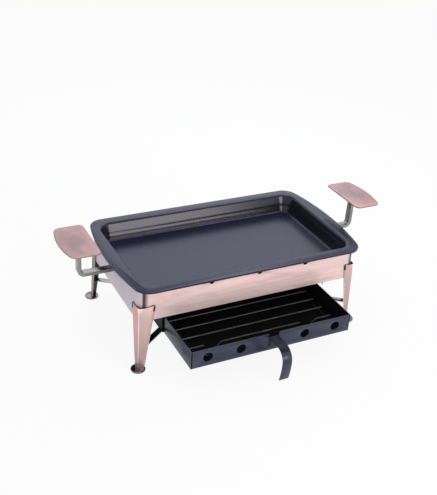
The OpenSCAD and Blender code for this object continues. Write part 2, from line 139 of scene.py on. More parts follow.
# %% [markdown]
# ## The white room
# The photograph is a cut-out on white. A paper sweep behind the grill would do for the background, but
# plated metal mirrors the whole room, so the room itself is white: camera, glossy and transmission rays see
# a white world, and everything else gets a plain level of light from it.

# %% World
AMBIENT = 0.68
SKY_TONE = (0.97, 0.98, 1.0, 1)
WHITE = (1, 1, 1, 1)
FULL = 1.0


def seen_directly(tree):
    path = add_node(tree, "ShaderNodeLightPath").outputs
    seen = joined(tree, "MAXIMUM", path["Is Camera Ray"], path["Is Glossy Ray"])
    return joined(tree, "MAXIMUM", seen, path["Is Transmission Ray"])


world = bpy.data.worlds.new("studio")
bpy.context.scene.world = world
world.use_nodes = True
sky = world.node_tree
sky.nodes.clear()
light = add_node(sky, "ShaderNodeBackground", inputs={"Color": SKY_TONE, "Strength": AMBIENT})
white = add_node(sky, "ShaderNodeBackground", inputs={"Color": WHITE, "Strength": FULL})
both = add_node(sky, "ShaderNodeMixShader", inputs={
    0: seen_directly(sky), 1: light.outputs[0], 2: white.outputs[0]})
add_node(sky, "ShaderNodeOutputWorld", inputs={"Surface": both.outputs[0]})
print("world light", AMBIENT)

# %% [markdown]
# ## The floor
# The grill stands on a white table. Paint alone would render grey, so the floor mixes some glow into what
# the camera and the metal see. That keeps it white and leaves a faint shadow. It is stage, not part of the
# grill.

# %% Floor
FLOOR_HALF = 8.0
FLOOR_GLOW = 0.9
FLOOR_TONE = (0.98, 0.98, 0.98, 1)
FLOOR_CORNERS = ((-1, -1), (1, -1), (1, 1), (-1, 1))

floor_material = bpy.data.materials.new("white_floor")
floor_material.use_nodes = True
tree = floor_material.node_tree
tree.nodes.clear()
matt = add_node(tree, "ShaderNodeBsdfDiffuse", inputs={"Color": FLOOR_TONE})
glow = add_node(tree, "ShaderNodeEmission", inputs={"Color": WHITE, "Strength": FULL})
share = joined(tree, "MULTIPLY", seen_directly(tree), FLOOR_GLOW)
both = add_node(tree, "ShaderNodeMixShader", inputs={0: share, 1: matt.outputs[0], 2: glow.outputs[0]})
add_node(tree, "ShaderNodeOutputMaterial", inputs={"Surface": both.outputs[0]})

floor_mesh = bpy.data.meshes.new("floor")
floor_mesh.from_pydata([(x * FLOOR_HALF, y * FLOOR_HALF, 0) for x, y in FLOOR_CORNERS], [], [(0, 1, 2, 3)])
floor_mesh.materials.append(floor_material)
add_object("floor", floor_mesh)
print("floor", 2 * FLOOR_HALF, "m wide")

# %% [markdown]
# ## Softboxes
# Even light from all sides leaves metal flat. A sun lamp would draw hard shadows, so three wide area lamps
# do what softboxes do in a studio: a cool sheen over the pan from behind, warm light on the copper front,
# and a soft light from above on the right.

# %% Softboxes
GRILL_MIDDLE = Vector((0.0, 0.0, 0.1))


def softbox(name, place, width, height, power, colour):
    lamp = bpy.data.lights.new(name, "AREA")
    lamp.shape = "RECTANGLE"
    lamp.color = colour
    lamp.size = width
    lamp.size_y = height
    lamp.energy = power
    aim = (GRILL_MIDDLE - Vector(place)).to_track_quat("-Z", "Y")
    add_object(name, lamp).matrix_world = Matrix.Translation(place) @ aim.to_matrix().to_4x4()
    print(name, power, "W")


softbox("back_softbox", (0.42, 1.03, 0.93), width=1.1, height=0.6, power=1.6, colour=(0.90, 0.93, 1.0))
softbox("front_softbox", (0.30, -1.46, 0.38), width=0.9, height=0.45, power=8.5, colour=(1.0, 0.94, 0.89))
softbox("top_softbox", (0.42, 0.32, 1.05), width=0.5, height=0.4, power=2.0, colour=(1.0, 1.0, 1.0))

# %% [markdown]
# ## Shared effects
# Three effects turn up in several finishes: clouds of tone, fine brushing in one direction, and rubbed
# edges, which read a mask that the edges carry. Their nodes could be copied into every finish, but as node
# groups with named inputs they are built once and stay alike.

# %% Clouds of tone
FLOAT, VECTOR = "NodeSocketFloat", "NodeSocketVector"


def new_group(name, inputs, output):
    group = bpy.data.node_groups.new(name, "ShaderNodeTree")
    for label, kind, value in inputs:
        made = group.interface.new_socket(label, in_out="INPUT", socket_type=kind)
        if value is not None:
            made.default_value = value
    group.interface.new_socket(output, in_out="OUTPUT", socket_type=FLOAT)
    given = group.nodes.new("NodeGroupInput").outputs
    return group, given, group.nodes.new("NodeGroupOutput").inputs[output]


clouds, given, mask = new_group("clouded_tone", [
    ("Vector", VECTOR, None), ("Scale", FLOAT, 12.0), ("Low", FLOAT, 0.35), ("High", FLOAT, 0.65)], "Mask")
noise = add_node(clouds, "ShaderNodeTexNoise", inputs={
    "Vector": given["Vector"], "Scale": given["Scale"], "Detail": 4.0, "Roughness": 0.55})
clouds.links.new(ranged(clouds, noise.outputs[0], given["Low"], given["High"], 0.0, 1.0), mask)
print("group", clouds.name)

# %% Brushing
brushing, given, mask = new_group("fine_brushing", [
    ("Vector", VECTOR, None), ("Grain", VECTOR, (30.0, 900.0, 900.0))], "Streaks")


def stretched(tree, place, scale):
    node = add_node(tree, "ShaderNodeVectorMath", operation="MULTIPLY", inputs={0: place, 1: scale})
    return node.outputs[0]


grained = stretched(brushing, given["Vector"], given["Grain"])
noise = add_node(brushing, "ShaderNodeTexNoise", inputs={
    "Vector": grained, "Scale": 1.0, "Detail": 3.0, "Roughness": 0.6})
brushing.links.new(noise.outputs[0], mask)
print("group", brushing.name)

# %% Rubbed edges
RUB_RANGE, LEAST_RUB = (0.3, 0.6), 0.35

rubbing, given, mask = new_group("rubbed_edge", [
    ("Vector", VECTOR, None), ("Edge", FLOAT, 0.0), ("Scale", FLOAT, 160.0)], "Mask")
noise = add_node(rubbing, "ShaderNodeTexNoise", inputs={
    "Vector": given["Vector"], "Scale": given["Scale"], "Detail": 3.0})
broken = ranged(rubbing, noise.outputs[0], *RUB_RANGE, LEAST_RUB, 1.0)
rubbing.links.new(joined(rubbing, "MULTIPLY", given["Edge"], broken), mask)
print("group", rubbing.name)

# %% [markdown]
# ## The finishes
# Each finish starts from one Principled shader. What is the same all over is set on the shader itself, and
# only what changes over the surface is linked: tone, roughness and the finest bumps. The patterns could use
# UV maps, but Object coordinates need none, run on from face to face and stay on a piece when it moves.

# %% Finish helpers
EDGE_MASK = "edge"


def new_finish(name, **constants):
    material = bpy.data.materials.new(name)
    material.use_nodes = True
    tree = material.node_tree
    tree.nodes.clear()
    shader = add_node(tree, "ShaderNodeBsdfPrincipled", inputs={
        key.replace("_", " "): value for key, value in constants.items()})
    add_node(tree, "ShaderNodeOutputMaterial", inputs={"Surface": shader.outputs[0]})
    place = add_node(tree, "ShaderNodeTexCoord").outputs["Object"]
    return material, tree, shader, place


def use_group(tree, group, **inputs):
    return add_node(tree, "ShaderNodeGroup", node_tree=group, inputs=inputs).outputs[0]


def rubbed(tree, place, size):
    edge = add_node(tree, "ShaderNodeAttribute", attribute_name=EDGE_MASK).outputs["Fac"]
    return use_group(tree, rubbing, Vector=place, Edge=edge, Scale=size)


def feed(tree, shader, key, value):
    tree.links.new(value, shader.inputs[key])


def bumped(tree, shader, height, strength, distance):
    bump = add_node(tree, "ShaderNodeBump", inputs={
        "Strength": strength, "Distance": distance, "Height": height})
    feed(tree, shader, "Normal", bump.outputs[0])


# %% [markdown]
# ### Antique copper plate
# The apron, the legs and the hand plates are pressed steel with brushed copper plate. An antique finish
# starts dark and is rubbed back, so no place is quite like another. It could be painted by hand, but noise
# at several scales does the same: clouds of pink, pale and grey, broad bands along the brushing, and fine
# streaks, which also set the roughness. Cut edges stay dark.

# %% Copper helpers
NEAR_CLOUDS, NEAR_MIDDLE = 9.0, 0.5
FAR_CLOUDS, FAR_MIDDLE = 5.0, 0.56
STREAK_RANGE, STREAK_DEPTH = (0.3, 0.7), 0.30
BAND_SHARE, BAND_RANGE = 0.2, (0.4, 0.7)
DEEP_SHARE = 0.70
GLOSS_RANGE = (0.25, 0.75)
SMOOTHER, ROUGHER = 0.06, 0.08
COPPER_RUB_SIZE = 120.0
BRUSH_BUMP = {"strength": 0.05, "distance": 0.3 * MM}


def copper_finish(name, tones, grain, cloud_stretch, rough, metal, soft=0.1, banding=0.38):
    pink, pale, grey = tones
    deep = [c * DEEP_SHARE for c in pink[:3]] + [1]
    material, tree, shader, place = new_finish(name, Metallic=metal)
    along = stretched(tree, place, cloud_stretch)
    near = use_group(tree, clouds, Vector=along, Scale=NEAR_CLOUDS,
                     Low=NEAR_MIDDLE - soft, High=NEAR_MIDDLE + soft)
    far = use_group(tree, clouds, Vector=along, Scale=FAR_CLOUDS,
                    Low=FAR_MIDDLE - soft, High=FAR_MIDDLE + soft)
    streaks = use_group(tree, brushing, Vector=place, Grain=grain)
    bands = use_group(tree, brushing, Vector=place, Grain=[g * BAND_SHARE for g in grain])
    tone = mixed(tree, far, mixed(tree, near, pink, pale), grey)
    tone = mixed(tree, ranged(tree, streaks, *STREAK_RANGE, 0.0, STREAK_DEPTH), tone, deep)
    tone = mixed(tree, ranged(tree, bands, *BAND_RANGE, 0.0, banding), tone, deep)
    feed(tree, shader, "Roughness", ranged(tree, streaks, *GLOSS_RANGE, rough - SMOOTHER, rough + ROUGHER))
    bumped(tree, shader, streaks, **BRUSH_BUMP)
    return material, tree, shader, place, tone


def close_copper(tree, shader, place, tone, edge_tone):
    feed(tree, shader, "Base Color", mixed(tree, rubbed(tree, place, COPPER_RUB_SIZE), tone, edge_tone))


def unsigned(tree, vector):
    return add_node(tree, "ShaderNodeVectorMath", operation="ABSOLUTE", inputs={0: vector}).outputs[0]


def facing(tree):
    normal = add_node(tree, "ShaderNodeTexCoord").outputs["Normal"]
    return add_node(tree, "ShaderNodeSeparateXYZ", inputs={"Vector": unsigned(tree, normal)}).outputs


# %% [markdown]
# ### The apron's copper
# The long sides are salmon pink with darker stains. The short sides are painted paler and cooler, a painted
# reflection, and the upright bends at the corners are painted dark, a painted dark reflection. It could be
# placed by coordinates, but a bend is where the surface turns, so the masks read the surface's own
# direction.

# %% Apron copper
APRON_TONES = (0.88, 0.61, 0.595, 1), (0.86, 0.69, 0.66, 1), (0.75, 0.63, 0.62, 1)
STAIN_TONE = (0.56, 0.37, 0.345, 1)
STAIN_DEPTH = 0.5
STAIN_STRETCH = (1.0, 1.0, 3.5)
# Painted reflection: the short sides are painted paler and cooler.
SHORT_SIDE_REFLECTION = (0.63, 0.575, 0.635, 1)
SHORT_SIDE_TURN = (0.56, 0.64)
# Painted dark reflection in the upright bends at the corners.
BEND_DARK_REFLECTION = (0.055, 0.045, 0.048, 1)
BEND_ENTERED = (0.10, 0.42)
BEND_LEFT = (0.55, 0.64)
DARK_EDGE = (0.16, 0.115, 0.11, 1)

apron_copper, tree, shader, place, tone = copper_finish(
    "brushed_copper_apron", APRON_TONES, grain=(30.0, 30.0, 1400.0), cloud_stretch=(1.0, 1.0, 4.0),
    rough=0.5, metal=0.3)
drawn_out = stretched(tree, place, STAIN_STRETCH)
stain = use_group(tree, clouds, Vector=drawn_out, Scale=22.0, Low=0.5, High=0.72)
tone = mixed(tree, ranged(tree, stain, 0.0, 1.0, 0.0, STAIN_DEPTH), tone, STAIN_TONE)
across = facing(tree)["X"]
# The short sides take the painted reflection, and the bends take the painted dark reflection.
tone = mixed(tree, ranged(tree, across, *SHORT_SIDE_TURN, 0.0, 1.0), tone, SHORT_SIDE_REFLECTION)
entered = ranged(tree, across, *BEND_ENTERED, 0.0, 1.0)
left = ranged(tree, across, *BEND_LEFT, 1.0, 0.0)
tone = mixed(tree, joined(tree, "MULTIPLY", entered, left), tone, BEND_DARK_REFLECTION)
close_copper(tree, shader, place, tone, DARK_EDGE)
print("finish", apron_copper.name)

# %% [markdown]
# ### The legs' copper
# A leg's folded ridge is painted bright, a painted highlight, and a painted highlight flares from it below
# the scalloped top. The wings turn grey towards their free edges, and the leg darkens at its foot. All of
# this follows the leaning ridge. A painted mask would have to be made for each leg, so the ridge's line is
# measured on one leg's solid, and the distance from it gives the masks for all four.

# %% The ridge's line
FOOT_TOP = 3.5 * MM
SCALLOP_LOW = 90.0 * MM


def reach(point):
    return abs(point.x) + abs(point.y)


leg_points = [v.co for v in frame["nodes"]["leg_front_left"].data.vertices]
ridge_low = max((point for point in leg_points if point.z < FOOT_TOP), key=reach)
ridge_high = max((point for point in leg_points if point.z > SCALLOP_LOW), key=reach)
ridge_lean = (reach(ridge_high) - reach(ridge_low)) / (ridge_high.z - ridge_low.z)
ridge_reach = reach(ridge_low) - ridge_lean * ridge_low.z
print("ridge from", tuple(ridge_low), "to", tuple(ridge_high), "lean", round(ridge_lean, 4))


def ridge_distance(tree, place, lean):
    return add_node(tree, "ShaderNodeVectorMath", operation="DOT_PRODUCT", inputs={
        0: unsigned(tree, place), 1: (1.0, 1.0, lean)}).outputs["Value"]


# %% [markdown]
# The rear legs are painted darker than the front ones, as painted shade, and their ridges get a dimmer
# painted highlight. One function makes both finishes from their tones.

# %% Leg copper
WING_EDGE = (22.0 * MM, 9.0 * MM)
WING_GREYING = 0.75
# Painted highlight along the ridge, and a painted highlight flaring from it below the scallop.
RIDGE_TURN = (0.54, 0.67)
FLARE_HEIGHT = 8.0 * MM
FLARE_SPREAD = 0.35
FLARE_SOFT = 2.0 * MM
FLARE_DEPTH = 0.7
FOOT_SHADE = (4.0 * MM, 70.0 * MM)
FOOT_TONE = (0.33, 0.285, 0.295, 1)
FOOT_DEPTH = 0.6


def leg_finish(name, tones, ridge_highlight):
    material, tree, shader, place, tone = copper_finish(
        name, tones, grain=(1100.0, 1100.0, 24.0), cloud_stretch=(9.0, 9.0, 1.6), rough=0.40, metal=0.75)
    outer, inner = [ridge_reach - width for width in WING_EDGE]
    wing = ridge_distance(tree, place, -ridge_lean)
    tone = mixed(tree, ranged(tree, wing, outer, inner, WING_GREYING, 0.0), tone, tones[-1])
    turned = facing(tree)
    ridge = joined(tree, "MINIMUM", turned["X"], turned["Y"])
    # Painted highlight: the ridge and the flare take the bright ridge tone.
    tone = mixed(tree, ranged(tree, ridge, *RIDGE_TURN, 0.0, 1.0), tone, ridge_highlight)
    flare = ridge_distance(tree, place, FLARE_SPREAD - ridge_lean)
    start = ridge_reach + FLARE_SPREAD * (ridge_high.z - FLARE_HEIGHT)
    bright = ranged(tree, flare, start - FLARE_SOFT, start + FLARE_SOFT, 0.0, FLARE_DEPTH)
    tone = mixed(tree, bright, tone, ridge_highlight)
    height = add_node(tree, "ShaderNodeSeparateXYZ", inputs={"Vector": place}).outputs["Z"]
    tone = mixed(tree, ranged(tree, height, *FOOT_SHADE, FOOT_DEPTH, 0.0), tone, FOOT_TONE)
    close_copper(tree, shader, place, tone, DARK_EDGE)
    print("finish", name)
    return material


leg_copper = leg_finish(
    "brushed_copper_leg", ridge_highlight=(1.0, 0.88, 0.85, 1),
    tones=((0.74, 0.425, 0.39, 1), (0.68, 0.465, 0.435, 1), (0.50, 0.42, 0.43, 1)))
# The rear legs' dark tones are painted shade.
rear_leg_shade_copper = leg_finish(
    "painted_shade_rear_leg", ridge_highlight=(0.46, 0.36, 0.34, 1),
    tones=((0.24, 0.155, 0.14, 1), (0.24, 0.175, 0.165, 1), (0.17, 0.145, 0.145, 1)))

# %% [markdown]
# ### The hand plates' copper
# Each plate is grey in the middle and pinkest near its rim. An oval round the plate's middle makes the
# mask, and clouds shift its outline, because a plain oval would look stamped on. Both plates share one
# finish, as the coordinates are taken without their sign.

# %% Hand plate copper
PLATE_PINK, PLATE_PALE = (0.57, 0.325, 0.32, 1), (0.52, 0.345, 0.34, 1)
PLATE_GREY = (0.245, 0.225, 0.232, 1)
PLATE_GREYING = 0.72
PLATE_OVAL = (30.0 * MM, 44.0 * MM)
OVAL_FADE = (0.1, 1.25)
OVAL_DRIFT = 0.5
PLATE_EDGE_TONE = (0.07, 0.05, 0.05, 1)


def corners_of(node):
    return [Vector(corner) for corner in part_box(node)]


def middle_of(points):
    return sum(points, Vector()) / len(points)


plate_copper, tree, shader, place, tone = copper_finish(
    "satin_copper_hand_plate", (PLATE_PINK, PLATE_PALE, PLATE_PALE), grain=(900.0, 24.0, 900.0),
    cloud_stretch=(3.6, 3.6, 3.6), rough=0.5, metal=0.75, soft=0.14, banding=0.08)
plate_middle = (middle_of(corners_of("handle_plate_right")).x, 0.0, 0.0)
centred = add_node(tree, "ShaderNodeVectorMath", operation="SUBTRACT", inputs={
    0: unsigned(tree, place), 1: plate_middle}).outputs[0]
oval = stretched(tree, centred, (1 / PLATE_OVAL[0], 1 / PLATE_OVAL[1], 0.0))
outward = add_node(tree, "ShaderNodeVectorMath", operation="LENGTH", inputs={0: oval}).outputs["Value"]
drift = use_group(tree, clouds, Vector=place, Scale=34.0, Low=0.34, High=0.66)
outward = joined(tree, "ADD", outward, ranged(tree, drift, 0.0, 1.0, -OVAL_DRIFT, OVAL_DRIFT))
tone = mixed(tree, ranged(tree, outward, *OVAL_FADE, PLATE_GREYING, 0.0), tone, PLATE_GREY)
close_copper(tree, shader, place, tone, PLATE_EDGE_TONE)
print("finish", plate_copper.name, "round", plate_middle)

# %% [markdown]
# ### Dull, dark and polished metal
# The insides of the folded legs are painted dull and dark, as painted shade inside the fold. The rails are
# black paint painted darker still, as painted shade under the apron, and the welds are near-black, partly
# dark weld and partly a painted shadow of the gap beside them. The drawer's inside is blackened by heat and
# ash and gives back little light. The rail straps and the turned foot discs are polished nickel, the discs
# darker. The grate's wires are drawn steel, and its cross wires are painted near-black as painted shade.
# One flat colour each would look like plastic, so one function gives them all clouds of two tones and of
# roughness.

# %% Clouded finishes
EVEN_CLOUDS = {"Low": 0.3, "High": 0.7}
MIRROR, WIRE_GLOSS = (0.05, 0.12), (0.26, 0.40)


def clouded_finish(name, size, first_tone, second_tone, rough, **constants):
    material, tree, shader, place = new_finish(name, **constants)
    cloud = use_group(tree, clouds, Vector=place, Scale=size, **EVEN_CLOUDS)
    feed(tree, shader, "Base Color", mixed(tree, cloud, first_tone, second_tone))
    feed(tree, shader, "Roughness", ranged(tree, cloud, 0.0, 1.0, *rough))
    print("finish", name)
    return material


# Painted shade inside the folded legs.
leg_fold_shade = clouded_finish("painted_shade_leg_fold", 40.0, (0.05, 0.042, 0.04, 1), (0.085, 0.072, 0.069, 1),
                            rough=(0.45, 0.6), Metallic=0.7)
# Rails: black paint painted darker still, as painted shade under the apron.
shaded_black_rail = clouded_finish("shaded_black_rail", 30.0, (0.006, 0.006, 0.008, 1), (0.011, 0.011, 0.013, 1),
                               rough=(0.42, 0.6), Specular_IOR_Level=0.15)
# Welds: dark weld colour plus a painted shadow of the gap beside them.
weld_and_gap_shade = clouded_finish("dark_weld_and_gap_shade", 400.0, (0.012, 0.010, 0.010, 1), (0.035, 0.028, 0.026, 1),
                             rough=(0.4, 0.6), Metallic=0.5)
sooty_black = clouded_finish("sooty_drawer_inside", 30.0, (0.003, 0.003, 0.0035, 1),
                             (0.006, 0.0055, 0.006, 1), rough=(0.7, 0.95), Specular_IOR_Level=0.08)
strap_nickel = clouded_finish("bright_strap_nickel", 120.0, (0.36, 0.355, 0.35, 1), (0.29, 0.285, 0.285, 1),
                              rough=MIRROR, Metallic=1.0)
foot_nickel = clouded_finish("dark_foot_nickel", 120.0, (0.22, 0.215, 0.21, 1), (0.16, 0.157, 0.157, 1),
                             rough=MIRROR, Metallic=1.0)
wire_steel = clouded_finish("drawn_wire", 60.0, (0.060, 0.060, 0.059, 1), (0.037, 0.037, 0.036, 1),
                            rough=WIRE_GLOSS, Metallic=1.0)
# Cross wires and weld nuggets: painted near-black, as painted shade.
shaded_dark_wire = clouded_finish("shaded_dark_wire", 60.0, (0.018, 0.017, 0.017, 1), (0.010, 0.010, 0.010, 1),
                               rough=WIRE_GLOSS, Metallic=1.0)

# %% [markdown]
# ### Satin nickel
# The handle bars are flat bar with satin nickel plate, brushed lengthwise. An anisotropic gloss could show
# that from afar, but streaks along the bar, in the roughness and as a fine bump, hold up close to the eye
# too.

# %% Satin nickel
NICKEL_LIGHT, NICKEL_DARK = (0.31, 0.308, 0.305, 1), (0.235, 0.233, 0.235, 1)
NICKEL_GLOSS = (0.20, 0.32)

nickel, tree, shader, place = new_finish("satin_nickel", Metallic=1.0)
streaks = use_group(tree, brushing, Vector=place, Grain=(60.0, 900.0, 60.0))
cloud = use_group(tree, clouds, Vector=place, Scale=40.0, **EVEN_CLOUDS)
feed(tree, shader, "Base Color", mixed(tree, cloud, NICKEL_LIGHT, NICKEL_DARK))
feed(tree, shader, "Roughness", ranged(tree, streaks, *GLOSS_RANGE, *NICKEL_GLOSS))
bumped(tree, shader, streaks, **BRUSH_BUMP)
print("finish", nickel.name)

# %% [markdown]
# ### The pan's coating and the drawer's paint
# The pan has a slate-blue non-stick coating. Its flats have a satin texture, and its drawn walls are
# smoother, with marks from the drawing die, so they mirror the room more clearly than the floor does. The
# drawer and its pull are sprayed with blue-black heatproof paint, and the pull's flat top run is painted
# darker and duller, as painted shade. They differ only in tone, gloss and grain, so one function makes all
# four.

# %% Sprayed finish helper
RUB_TONE = (0.20, 0.20, 0.23, 1)
RUB_DEPTH = 0.25
RUB_SIZE = 200.0
SPECKLE = (-0.03, 0.04)
LEVEL_TURN = (0.5, 0.95)
UPRIGHT_TURN = (0.35, 0.6)
MARK_STRETCH = (2.0, 2.0, 130.0)


def drawing_marks(tree, place):
    marks = add_node(tree, "ShaderNodeTexNoise", inputs={
        "Vector": stretched(tree, place, MARK_STRETCH), "Scale": 1.0, "Detail": 1.0}).outputs[0]
    return joined(tree, "MULTIPLY", marks, ranged(tree, facing(tree)["Z"], *UPRIGHT_TURN, 1.0, 0.0))


def sprayed_finish(name, dark, pale, flat_rough, wall_rough, grain_size, drawn=False, **constants):
    material, tree, shader, place = new_finish(name, **constants)
    cloud = use_group(tree, clouds, Vector=place, Scale=9.0, Low=0.35, High=0.65)
    grain = use_group(tree, clouds, Vector=place, Scale=grain_size, Low=0.25, High=0.75)
    rub = joined(tree, "MULTIPLY", rubbed(tree, place, RUB_SIZE), RUB_DEPTH)
    feed(tree, shader, "Base Color", mixed(tree, rub, mixed(tree, cloud, dark, pale), RUB_TONE))
    level = ranged(tree, facing(tree)["Z"], *LEVEL_TURN, wall_rough, flat_rough)
    speckle = ranged(tree, grain, 0.0, 1.0, *SPECKLE)
    feed(tree, shader, "Roughness", joined(tree, "ADD", level, speckle))
    if drawn:
        bumped(tree, shader, drawing_marks(tree, place), strength=0.25, distance=2.0 * MM)
    else:
        bumped(tree, shader, grain, strength=0.02, distance=0.2 * MM)
    print("finish", name)
    return material


# %% Coating and paint
COOL_GLOSS, GREY_GLOSS = (0.62, 0.67, 1.0, 1), (0.71, 0.715, 0.82, 1)
COATING_GRAIN, PAINT_GRAIN = 1400.0, 1100.0

pan_coating = sprayed_finish(
    "slate_pan_coating", (0.009, 0.009, 0.026, 1), (0.012, 0.012, 0.031, 1),
    flat_rough=0.26, wall_rough=0.2, grain_size=COATING_GRAIN, IOR=1.5, Specular_Tint=COOL_GLOSS)
pan_wall = sprayed_finish(
    "drawn_pan_wall", (0.008, 0.008, 0.014, 1), (0.011, 0.011, 0.018, 1),
    flat_rough=0.26, wall_rough=0.17, grain_size=COATING_GRAIN, drawn=True,
    IOR=1.5, Specular_Tint=GREY_GLOSS)
black_paint = sprayed_finish(
    "blue_black_paint", (0.021, 0.023, 0.040, 1), (0.027, 0.029, 0.048, 1),
    flat_rough=0.27, wall_rough=0.27, grain_size=PAINT_GRAIN, IOR=1.5, Specular_Tint=COOL_GLOSS)
# Painted shade: the pull's flat top run is painted darker and duller.
pull_top_shade = sprayed_finish(
    "painted_shade_pull_paint", (0.010, 0.011, 0.019, 1), (0.015, 0.016, 0.026, 1),
    flat_rough=0.38, wall_rough=0.38, grain_size=PAINT_GRAIN,
    Specular_IOR_Level=0.2, Specular_Tint=COOL_GLOSS)

# %% [markdown]
# ## Dressing the sheet metal
# The solids have the right shape but knife-sharp edges, and their triangles are loose. A bevel in the
# shader would soften the look alone, so a copy of each solid is merged, its flat triangles are joined, and
# every sharp edge gets a small real bevel that can catch the light. The bevel's faces carry the edge mask.
# The copy then stands for the solid and rides on the same body. Where a sheet has another finish inside,
# its inner faces take the second material.

# %% Dressing helpers
SHARP = math.radians(34)
SMOOTH = math.radians(24)
FLAT = math.radians(0.4)
MERGE = 0.002 * MM
SHEET_EDGE = 0.3 * MM


def merged_copy(node):
    shell = bmesh.new()
    shell.from_mesh(frame["nodes"][node].data)
    bmesh.ops.remove_doubles(shell, verts=shell.verts, dist=MERGE)
    return shell


def keep_piece(piece, node):
    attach(piece, frame["nodes"][node]["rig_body"])
    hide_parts(node)


def soften_edges(shell, width, steps):
    sharp = [e for e in shell.edges if e.is_manifold and e.calc_face_angle() > SHARP]
    mask = shell.faces.layers.float.new(EDGE_MASK)
    bevel = bmesh.ops.bevel(shell, geom=sharp, offset=width, offset_type="OFFSET", segments=steps,
                            profile=0.5, affect="EDGES", clamp_overlap=True)
    for face in bevel["faces"]:
        face[mask] = 1.0
    bmesh.ops.remove_doubles(shell, verts=shell.verts, dist=MERGE)


# %% Dressing
def dress(node, name, material, edge=SHEET_EDGE, steps=2, inside=None, is_inside=None, cuts=()):
    shell = merged_copy(node)
    bmesh.ops.dissolve_limit(shell, angle_limit=FLAT, verts=shell.verts, edges=shell.edges)
    for cut in cuts:
        bmesh.ops.bisect_plane(shell, geom=shell.verts[:] + shell.edges[:] + shell.faces[:],
                               plane_co=cut, plane_no=(1, 0, 0))
    soften_edges(shell, edge, steps)
    for face in shell.faces:
        face.smooth = True
        face.material_index = 1 if inside and is_inside(face) else 0
    for e in shell.edges:
        e.smooth = e.is_manifold and e.calc_face_angle() < SMOOTH
    mesh = bpy.data.meshes.new(name)
    shell.to_mesh(mesh)
    shell.free()
    mesh.materials.append(material)
    if inside:
        mesh.materials.append(inside)
    keep_piece(add_object(name, mesh), node)
    print(name, len(mesh.polygons), "faces")


# %% [markdown]
# ## The stand
# The apron is one sheet bent into a ring, each leg is one folded sheet, and the bars and straps are cut
# from flat stock. Their solids are already true to that, so the stand only needs edges and finishes. A cut
# and tumbled bar is rounder at its edges than a sheared sheet, so the bevels differ.

# %% Stand
CORNERS = ("front_left", "front_right", "rear_left", "rear_right")
SIDES = ("left", "right")
LEG_EDGE = 0.35 * MM
STRIP_EDGE = 0.25 * MM
BAR_EDGE = 0.45 * MM
PLATE_EDGE = 0.5 * MM
INWARD = 0.25


def faces_middle(face):
    middle = face.calc_center_median()
    inward = Vector((-math.copysign(1, middle.x), -math.copysign(1, middle.y), 0))
    return face.normal.dot(inward) > INWARD


dress("apron_band", "apron_sheet", apron_copper)
for corner in CORNERS:
    finish = leg_copper if corner.startswith("front") else rear_leg_shade_copper
    dress("leg_" + corner, "leg_sheet_" + corner, finish, LEG_EDGE,
          inside=leg_fold_shade, is_inside=faces_middle)
    dress("foot_" + corner, "foot_disc_" + corner, foot_nickel)
    dress("rail_strap_" + corner, "strap_" + corner, strap_nickel, STRIP_EDGE)
for side in SIDES:
    dress("handle_bar_" + side, "bar_" + side, nickel, BAR_EDGE, steps=3)
    dress("handle_plate_" + side, "hand_plate_" + side, plate_copper, PLATE_EDGE, steps=3)
    dress("drawer_rail_" + side, "rail_" + side, shaded_black_rail, STRIP_EDGE)

# %% [markdown]
# ## Weld beads
# Each wing of a leg is welded to the apron along the top of its free edge, and a fine seam follows the
# scalloped top. The welds and the seam are near-black: partly dark weld, partly a painted shadow of the gap
# between wing and apron, which draws a dark line round the wings' tips. A curve with a round bevel would
# make a smooth worm, so a weld is swept along its edge as a row of rings, which swell and shrink like the
# ripples of a real bead. The edges are read from the leg's own solid.

# %% Sweep helper
TUBE_SIDES = 10


def sweep(shell, path, radii):
    rings = []
    turns = [2 * math.pi * k / TUBE_SIDES for k in range(TUBE_SIDES)]
    for i, centre in enumerate(path):
        along = (path[min(i + 1, len(path) - 1)] - path[max(i - 1, 0)]).normalized()
        side = along.cross(Vector((1, 1, 0))).normalized()
        third = along.cross(side)
        ring = [centre + (side * math.cos(t) + third * math.sin(t)) * radii[i] for t in turns]
        rings.append([shell.verts.new(point) for point in ring])
    for low, high in zip(rings, rings[1:]):
        for k in range(TUBE_SIDES):
            n = (k + 1) % TUBE_SIDES
            shell.faces.new((low[k], low[n], high[n], high[k]))
    shell.faces.new(list(reversed(rings[0])))
    shell.faces.new(rings[-1])


# %% Beads at the wings
BEAD_RADIUS = 1.9 * MM
BEAD_LENGTH = 11.0 * MM
BEAD_RINGS = 16
BEAD_END = 0.08
RIPPLE = 0.1
SEAM_RADIUS = 0.5 * MM
WING_CLEAR = 14.0 * MM
SHEET_ROOM = 1.7 * MM


def bead_path(points, axis):
    ridge = max(abs(point[axis]) for point in points)
    wing = [point for point in points if abs(point[axis]) < ridge - WING_CLEAR]
    top = max(point.z for point in wing)
    tip = middle_of([point for point in wing if point.z > top - SEAM_RADIUS])
    foot = [point for point in points if point.z < FOOT_TOP]
    narrow = min(abs(point[axis]) for point in foot)
    end = middle_of([point for point in foot if abs(point[axis]) < narrow + SHEET_ROOM])
    down = (end - tip).normalized() * BEAD_LENGTH
    tip[axis] -= math.copysign(SEAM_RADIUS, tip[axis])
    return [tip + down * i / BEAD_RINGS for i in range(BEAD_RINGS + 1)]


def bead_radii():
    shares = [2 * i / BEAD_RINGS - 1 for i in range(BEAD_RINGS + 1)]
    ripples = [1 - RIPPLE + RIPPLE * math.cos(math.pi * i) for i in range(BEAD_RINGS + 1)]
    return [BEAD_RADIUS * max(BEAD_END, math.sqrt(1 - share ** 4) * ripple)
            for share, ripple in zip(shares, ripples)]


print("bead", BEAD_LENGTH, "m long, widest radius", round(max(bead_radii()), 5), "m")

# %% Seam along the scallop
OUTWARD = 0.3
UPRIGHT = 0.4


